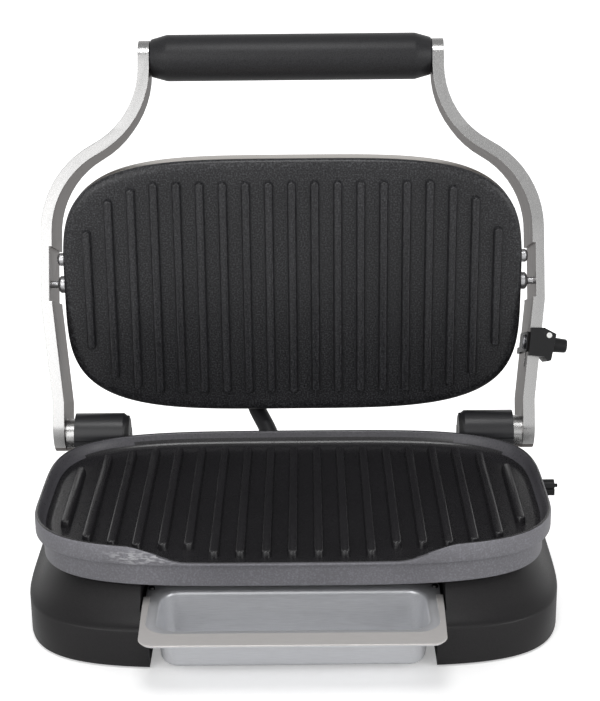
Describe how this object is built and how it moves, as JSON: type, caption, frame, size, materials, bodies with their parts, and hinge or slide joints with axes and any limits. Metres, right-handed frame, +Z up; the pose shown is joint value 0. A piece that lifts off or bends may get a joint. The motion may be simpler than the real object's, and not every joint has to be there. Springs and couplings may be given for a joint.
{
  "type": "electric contact grill",
  "caption": "Indoor contact grill, lid open: ribbed plates, bail arms with bar handle, height adjuster, slide-out drip tray.",
  "frame": {"origin": "on the table, under the centre of the whole grill's bounding box with the lid open and the tray in", "axes": "+Z up; -Y is the front, where the drip tray and the pour lip are; +X is the right-hand side seen from the front, where the height adjuster is"},
  "size_m": [0.3612, 0.3472, 0.324],
  "materials": {
    "charcoal_plastic": "fine-grained matt dark grey moulding",
    "foot_rubber": "matt black",
    "zinc_steel": "zinc-plated, slightly dull",
    "non_stick": "speckled dark grey non-stick coating on a die-cast plate",
    "element_sheath": "heat-dulled metal sheath",
    "bright_aluminium": "mill-bright sheet",
    "ceramic": "unglazed off-white ceramic",
    "satin_aluminium": "satin silver, fine grain",
    "pin_steel": "turned and polished",
    "grip_plastic": "fine-textured matt black moulding",
    "satin_cover": "brushed satin silver sheet",
    "black_plastic": "smooth black moulding with a slight sheen",
    "flex_rubber": "matt black sleeve",
    "white_paint": "white dot"
  },
  "bodies": {
    "base": {"base_housing": "charcoal_plastic", "base_cover": "charcoal_plastic", "foot_front_left": "foot_rubber", "foot_front_right": "foot_rubber", "foot_rear_left": "foot_rubber", "foot_rear_right": "foot_rubber", "base_screw_front_left": "zinc_steel", "base_screw_front_right": "zinc_steel", "base_screw_rear_left": "zinc_steel", "base_screw_rear_right": "zinc_steel", "plate_skirt": "non_stick", "lower_plate": "non_stick", "lower_element": "element_sheath", "lower_reflector": "bright_aluminium", "lower_thermostat": "ceramic", "thermal_fuse": "ceramic", "hinge_housing_left": "charcoal_plastic", "hinge_housing_right": "charcoal_plastic", "hinge_pin_left": "pin_steel", "hinge_pin_right": "pin_steel", "side_keeper": "black_plastic", "keeper_rivet": "zinc_steel", "mains_gland": "flex_rubber", "lead_gland_base": "flex_rubber"},
    "arms": {"arm_left": "satin_aluminium", "arm_right": "satin_aluminium", "handle_grip": "grip_plastic", "handle_rod": "pin_steel", "handle_screw_left": "pin_steel", "handle_screw_right": "pin_steel", "lid_lead": "flex_rubber"},
    "lid": {"lid_plate": "non_stick", "lid_cover": "satin_cover", "lid_element": "element_sheath", "lid_reflector": "bright_aluminium", "lid_thermostat": "ceramic", "lid_bracket_left": "zinc_steel", "lid_bracket_right": "zinc_steel", "pivot_pin_left": "pin_steel", "pivot_pin_right": "pin_steel", "stop_pin_left": "pin_steel", "stop_pin_right": "pin_steel", "lead_gland_lid": "flex_rubber"},
    "tray": {"drip_tray": "satin_aluminium", "tray_stud_left": "black_plastic", "tray_stud_right": "black_plastic"},
    "adjuster": {"adjuster_block": "black_plastic", "adjuster_plate": "black_plastic", "index_dot": "white_paint"},
    "knob": {"adjuster_knob": "black_plastic", "adjuster_screw": "zinc_steel"}
  },
  "joints": [
    {"name": "arm_lift", "type": "hinge", "parent": "base", "child": "arms", "pos_m": [-0.008, 0.066, 0.064], "axis": [1, 0, 0], "range_deg": [0, 99.5], "deforming": ["lid_lead"]},
    {"name": "lid_tilt", "type": "hinge", "parent": "arms", "child": "lid", "pos_m": [-0.008, 0.10257, 0.1613], "axis": [1, 0, 0], "range_deg": [-9.5, 0]},
    {"name": "tray_slide", "type": "slide", "parent": "base", "child": "tray", "axis": [0, -1, 0], "range_m": [0, 0.045]},
    {"name": "adjuster_slide", "type": "slide", "parent": "arms", "child": "adjuster", "axis": [0.114, 0.3495, 0.93], "range_m": [-0.014, 0]},
    {"name": "adjuster_knob_turn", "type": "hinge", "parent": "adjuster", "child": "knob", "pos_m": [0.15694, 0.08455, 0.12187], "axis": [0.9935, -0.0401, -0.1067], "range_deg": [0, 180]}
  ],
  "couplings": [
    {"joint": "lid_tilt", "follows": "arm_lift", "ratio": -0.095477}
  ]
}
